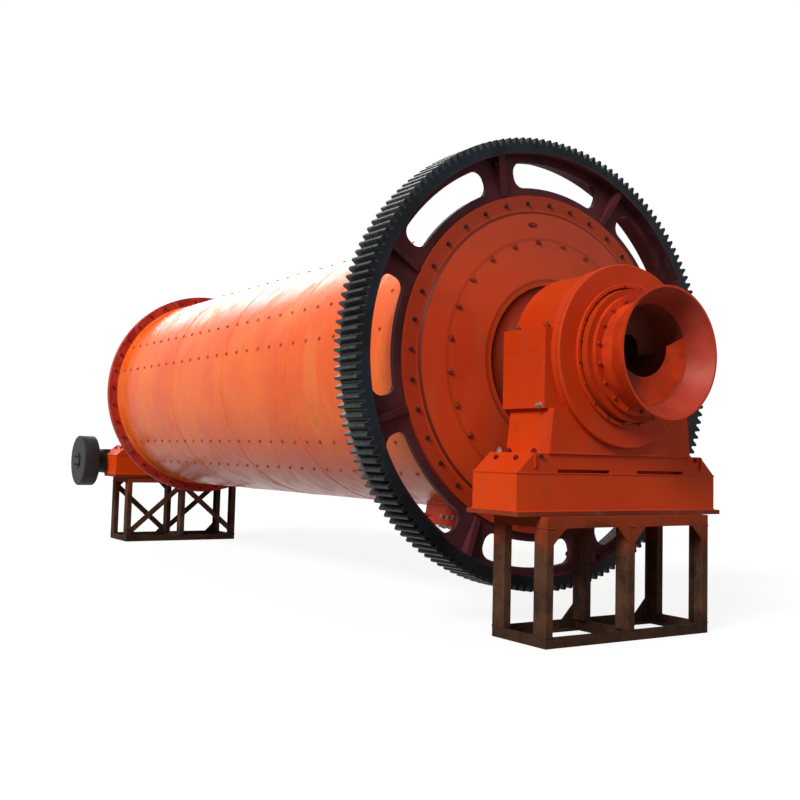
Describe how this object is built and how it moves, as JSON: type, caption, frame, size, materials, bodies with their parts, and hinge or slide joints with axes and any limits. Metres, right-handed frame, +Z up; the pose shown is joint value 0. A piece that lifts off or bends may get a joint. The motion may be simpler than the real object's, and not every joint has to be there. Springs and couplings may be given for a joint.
{
  "type": "ball mill",
  "caption": "Horizontal grinding drum with a toothed girth gear and flared mouths, turning in two trunnion bearings on welded stands.",
  "frame": {"origin": "on the ground under the drum's axis, midway between the two mouths", "axes": "+X along the drum toward the discharge end with the girth gear, +Z up"},
  "size_m": [9.071, 3.28, 3.4899],
  "materials": {
    "orange_paint": "glossy orange enamel over steel",
    "dark_red_paint": "dark red oxide paint on the flanges",
    "gear_steel": "dark cast steel, maroon primer on the web",
    "rusty_steel": "rusty mill-finish channel and angle with old brown primer",
    "bush_bronze": "bearing bronze",
    "black_paint": "dull black paint"
  },
  "bodies": {
    "stands": {"discharge_stand_columns": "rusty_steel", "discharge_stand_bottom_frame": "rusty_steel", "discharge_stand_top_frame": "rusty_steel", "discharge_stand_gussets": "rusty_steel", "discharge_base_plate": "orange_paint", "discharge_base_box": "orange_paint", "discharge_bearing_sole": "orange_paint", "discharge_bearing_pedestal": "orange_paint", "discharge_bearing_cap": "orange_paint", "discharge_bearing_front_ring": "orange_paint", "discharge_bearing_back_ring": "orange_paint", "discharge_seal_cover": "orange_paint", "discharge_bearing_bush": "bush_bronze", "feed_stand_columns": "rusty_steel", "feed_stand_bottom_frame": "rusty_steel", "feed_stand_top_frame": "rusty_steel", "feed_stand_gussets": "rusty_steel", "feed_base_plate": "orange_paint", "feed_base_box": "orange_paint", "feed_bearing_sole": "orange_paint", "feed_bearing_pedestal": "orange_paint", "feed_bearing_cap": "orange_paint", "feed_bearing_front_ring": "orange_paint", "feed_bearing_back_ring": "orange_paint", "feed_seal_cover": "orange_paint", "feed_bearing_bush": "bush_bronze", "feed_stand_braces": "rusty_steel", "wheel_bracket": "black_paint"},
    "drum": {"shell_course_1": "orange_paint", "shell_course_2": "orange_paint", "shell_course_3": "orange_paint", "shell_course_4": "orange_paint", "feed_shell_flange": "dark_red_paint", "discharge_shell_flange": "dark_red_paint", "girth_gear_half_1": "gear_steel", "girth_gear_half_2": "gear_steel", "discharge_head": "orange_paint", "feed_head": "orange_paint", "discharge_trunnion": "orange_paint", "feed_trunnion": "orange_paint", "discharge_trumpet": "orange_paint", "feed_trumpet": "orange_paint", "discharge_spiral_flight": "orange_paint", "feed_spiral_flight": "orange_paint", "manhole_frame": "orange_paint", "manhole_cover": "orange_paint"},
    "wheel": {"side_wheel": "black_paint"}
  },
  "joints": [
    {"name": "drum_spin", "type": "hinge", "parent": "stands", "child": "drum", "pos_m": [0, 0, 1.85], "axis": [1, 0, 0], "continuous": true},
    {"name": "wheel_spin", "type": "hinge", "parent": "stands", "child": "wheel", "pos_m": [-4.2215, -1.1145, 0.988], "axis": [0, 1, 0], "continuous": true}
  ]
}
